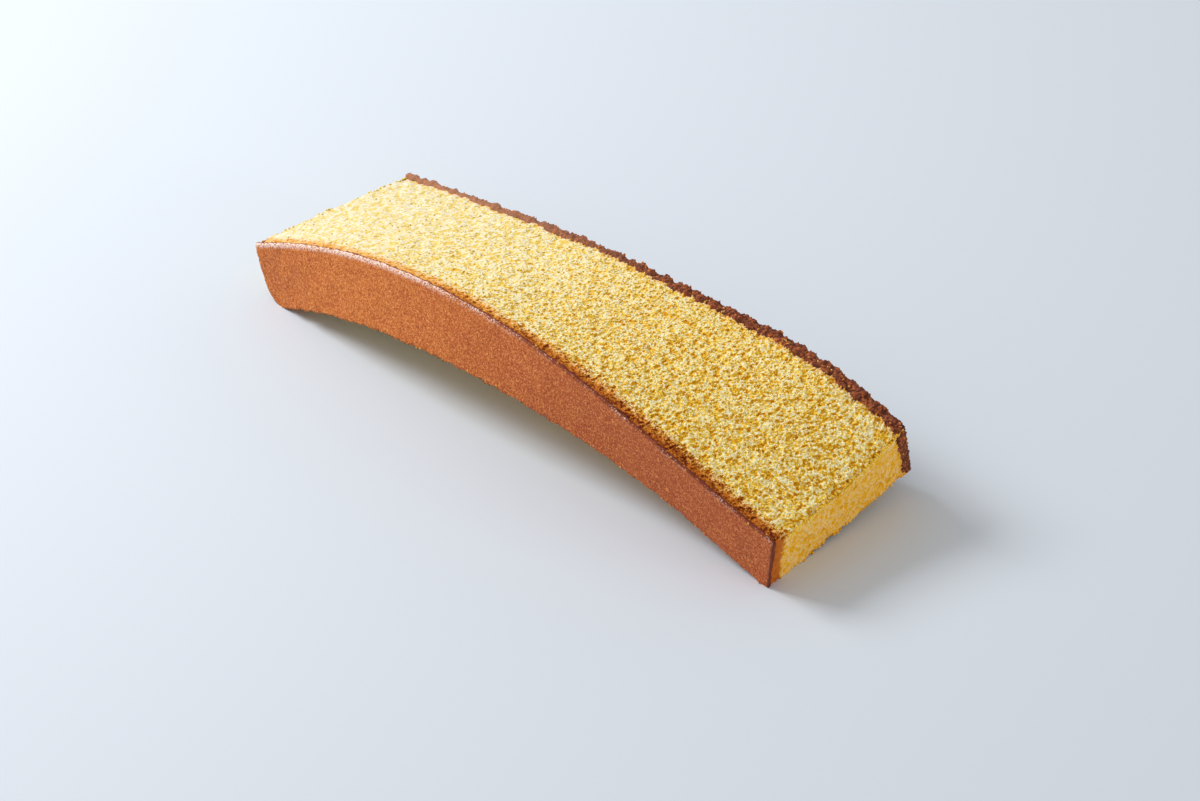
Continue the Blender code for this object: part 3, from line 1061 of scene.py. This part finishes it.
def on_grains(recipe):
    """Most on the high grains of the cut face, fewer to the left."""
    high = recipe.rise(recipe.named("pit"), 0.15, 0.6, 1.0, 0.1)
    to_the_right = recipe.rise(recipe.named("from_left"), 0.0, 0.6 * LENGTH, 0.05, 1.0)
    return high * recipe.named("cut") * to_the_right


def on_edges(recipe):
    """Along the upper and lower edges of both ends."""
    from_cut, from_left = recipe.named("from_cut"), recipe.named("from_left")
    lower = recipe.rise(from_cut, THICKNESS - 0.0016, THICKNESS)
    from_end = recipe.math("MINIMUM", from_left, LENGTH - from_left)
    edge = recipe.fall(from_cut, 0.0, 0.0014) + lower
    return edge * (from_end < 0.0003) * (recipe.named("from_skin") > 0.0012)


def on_skin_edges(recipe):
    """Sparse along the upper rim and the lower edge of the skin's outer side."""
    from_cut = recipe.named("from_cut")
    rim = recipe.fall(from_cut, 0.0004, 0.0012)
    lower = recipe.rise(from_cut, THICKNESS - 0.0010, THICKNESS - 0.0002)
    far = recipe.rise(recipe.named("from_left"), 0.25 * LENGTH, 0.6 * LENGTH, 0.15, 1.0)
    clumps = recipe.rise(recipe.noise(recipe.place(), 0.008, 2.0), 0.42, 0.6)
    return (rim * far + lower) * clumps


def on_crust(recipe):
    """Over the crust's upper side and back."""
    return recipe.rise(recipe.named("pit"), 0.3, 0.8, 1.0, 0.1) * (recipe.named("open") > 0.45)


class SettingsOperator:
    """Shared by every operator of this file: it reads the scene's settings."""

    bl_options = {"REGISTER", "UNDO"}

    def execute(self, context):
        settings = context.scene
        self.make(settings.castella_sizes, settings.castella_colours, settings.castella_view)
        return {"FINISHED"}


class CASTELLA_OT_sponge(SettingsOperator, bpy.types.Operator):
    """Makes the body of golden crumb and the torn threads on its cut faces"""

    bl_idname = "castella.sponge"
    bl_label = "Sponge"

    def make(self, sizes, colours, view):
        blocks = crumb_blocks(sizes, crumb_finish("golden_crumb", colours))
        loose = crumb_finish("torn_crumb", colours)
        curds = scatter_piece(
            "crumb_curds", blocks, loose, on_grains,
            gap=sizes.curd_gap, length=sizes.curd_length, tint=(0.0, 0.4), seed=sizes.seed, flat=0.7,
        )
        edge_crumbs = scatter_piece(
            "edge_crumbs", (blocks[0], blocks[-1]), loose, on_edges,
            gap=0.0008, length=0.0012, tint=(0.0, 0.4), seed=sizes.seed + 20, flat=0.8,
        )
        for piece in (*blocks, curds, edge_crumbs):
            attach(piece)


class CASTELLA_OT_skin(SettingsOperator, bpy.types.Operator):
    """Makes the smooth browned skin"""

    bl_idname = "castella.skin"
    bl_label = "Browned skin"

    def make(self, sizes, colours, view):
        skin = skin_piece(sizes, skin_finish(colours))
        crumbs = scatter_piece(
            "skin_crumbs", (skin,), loose_finish(colours), on_skin_edges,
            gap=0.0016, length=0.0009, tint=(0.1, 0.9), seed=sizes.seed + 40, flat=0.8,
        )
        attach(skin)
        attach(crumbs)


class CASTELLA_OT_crust(SettingsOperator, bpy.types.Operator):
    """Makes the rough base crust"""

    bl_idname = "castella.crust"
    bl_label = "Base crust"

    def make(self, sizes, colours, view):
        crust = crust_piece(sizes, crust_finish(colours))
        crumbs = scatter_piece(
            "crust_crumbs", (crust,), loose_finish(colours), on_crust,
            gap=0.0026, length=0.0011, tint=(0.4, 1.2), seed=sizes.seed + 60, flat=0.8,
        )
        attach(crust)
        attach(crumbs)


class CASTELLA_OT_stage(SettingsOperator, bpy.types.Operator):
    """Makes the pale table, the soft lights and the camera"""

    bl_idname = "castella.stage"
    bl_label = "Stage"

    def make(self, sizes, colours, view):
        make_table(colours)
        make_lights(view)
        make_camera(view)


def make_table(colours):
    """A wide pale floor."""
    reach = 4.0
    mesh = bpy.data.meshes.new("table")
    corners = [(reach * x, reach * y, 0) for x, y in ((-1, -1), (1, -1), (1, 1), (-1, 1))]
    mesh.from_pydata(corners, [], [(0, 1, 2, 3)])
    mesh.materials.append(table_finish(colours))
    add_object("table", mesh)


def picture_axes(view):
    """Right and away in the picture, level with the table."""
    right = Vector((math.cos(view.azimuth), math.sin(view.azimuth), 0.0))
    away = Vector((-math.sin(view.azimuth), math.cos(view.azimuth), 0.0))
    return right, away


def soft_light(name, place, size, power, colour):
    """A square soft light that looks at the slice."""
    data = bpy.data.lights.new(name, "AREA")
    data.shape = "SQUARE"
    data.size = size
    data.energy = power
    data.color = colour
    light = add_object(name, data)
    light.location = place
    light.rotation_euler = (-place).to_track_quat("-Z", "Y").to_euler()


def make_lights(view):
    """A window on the left and a little behind, a weak fill in front, and a bright room."""
    right, away = picture_axes(view)
    up = Vector((0.0, 0.0, 1.0))
    window_place = -0.85 * right + 0.5 * away + 0.85 * up
    fill_place = 1.3 * right - 0.8 * away + 0.22 * up
    soft_light("window", window_place, size=0.6, power=view.key_power, colour=(1.0, 0.99, 0.97))
    soft_light("fill", fill_place, size=0.42, power=view.fill_power, colour=(1.0, 0.98, 0.95))
    world = bpy.data.worlds.new("room")
    world.use_nodes = True
    sky = world.node_tree.nodes["Background"]
    sky.inputs["Color"].default_value = (0.995, 0.99, 0.965, 1.0)
    sky.inputs["Strength"].default_value = view.sky
    bpy.context.scene.world = world
    bpy.context.scene.view_settings.view_transform = "Standard"


def make_camera(view):
    """The camera, set back along its line of sight from the point it looks at."""
    right, away = picture_axes(view)
    sight = away * math.cos(view.elevation) - Vector((0, 0, math.sin(view.elevation)))
    up = right.cross(sight)
    turned_right = right * math.cos(view.roll) + up * math.sin(view.roll)
    turned_up = up * math.cos(view.roll) - right * math.sin(view.roll)
    rotation = Matrix((turned_right, turned_up, -sight)).transposed().to_4x4()
    data = bpy.data.cameras.new("camera")
    data.sensor_width = 36.0
    data.lens = view.lens
    data.clip_start, data.clip_end = 0.05, 20.0
    camera = add_object("camera", data)
    camera.matrix_world = Matrix.Translation(Vector(view.aim) - sight * view.distance) @ rotation
    bpy.context.scene.camera = camera


class CASTELLA_PT_panel(bpy.types.Panel):
    """Lists the pieces of the slice and their settings"""

    bl_idname = "CASTELLA_PT_panel"
    bl_label = "Castella slice"
    bl_space_type = "VIEW_3D"
    bl_region_type = "UI"
    bl_category = "Castella"

    def draw(self, context):
        layout = self.layout
        for operator in OPERATORS:
            layout.operator(operator.bl_idname)
        for name, group in GROUPS.items():
            box = layout.box()
            for key in group.__annotations__:
                box.prop(getattr(context.scene, name), key)


OPERATORS = (CASTELLA_OT_sponge, CASTELLA_OT_skin, CASTELLA_OT_crust, CASTELLA_OT_stage)
GROUPS = {
    "castella_sizes": CastellaSizes,
    "castella_colours": CastellaColours,
    "castella_view": CastellaView,
}


def register():
    for group in (*GROUPS.values(), *OPERATORS, CASTELLA_PT_panel):
        bpy.utils.register_class(group)
    for name, group in GROUPS.items():
        setattr(bpy.types.Scene, name, PointerProperty(type=group))


def unregister():
    for name in GROUPS:
        delattr(bpy.types.Scene, name)
    for group in (CASTELLA_PT_panel, *reversed(OPERATORS), *reversed(GROUPS.values())):
        bpy.utils.unregister_class(group)


def main():
    register()
    bpy.ops.castella.sponge()
    bpy.ops.castella.skin()
    bpy.ops.castella.crust()
    bpy.ops.castella.stage()


if __name__ == "__main__":
    main()
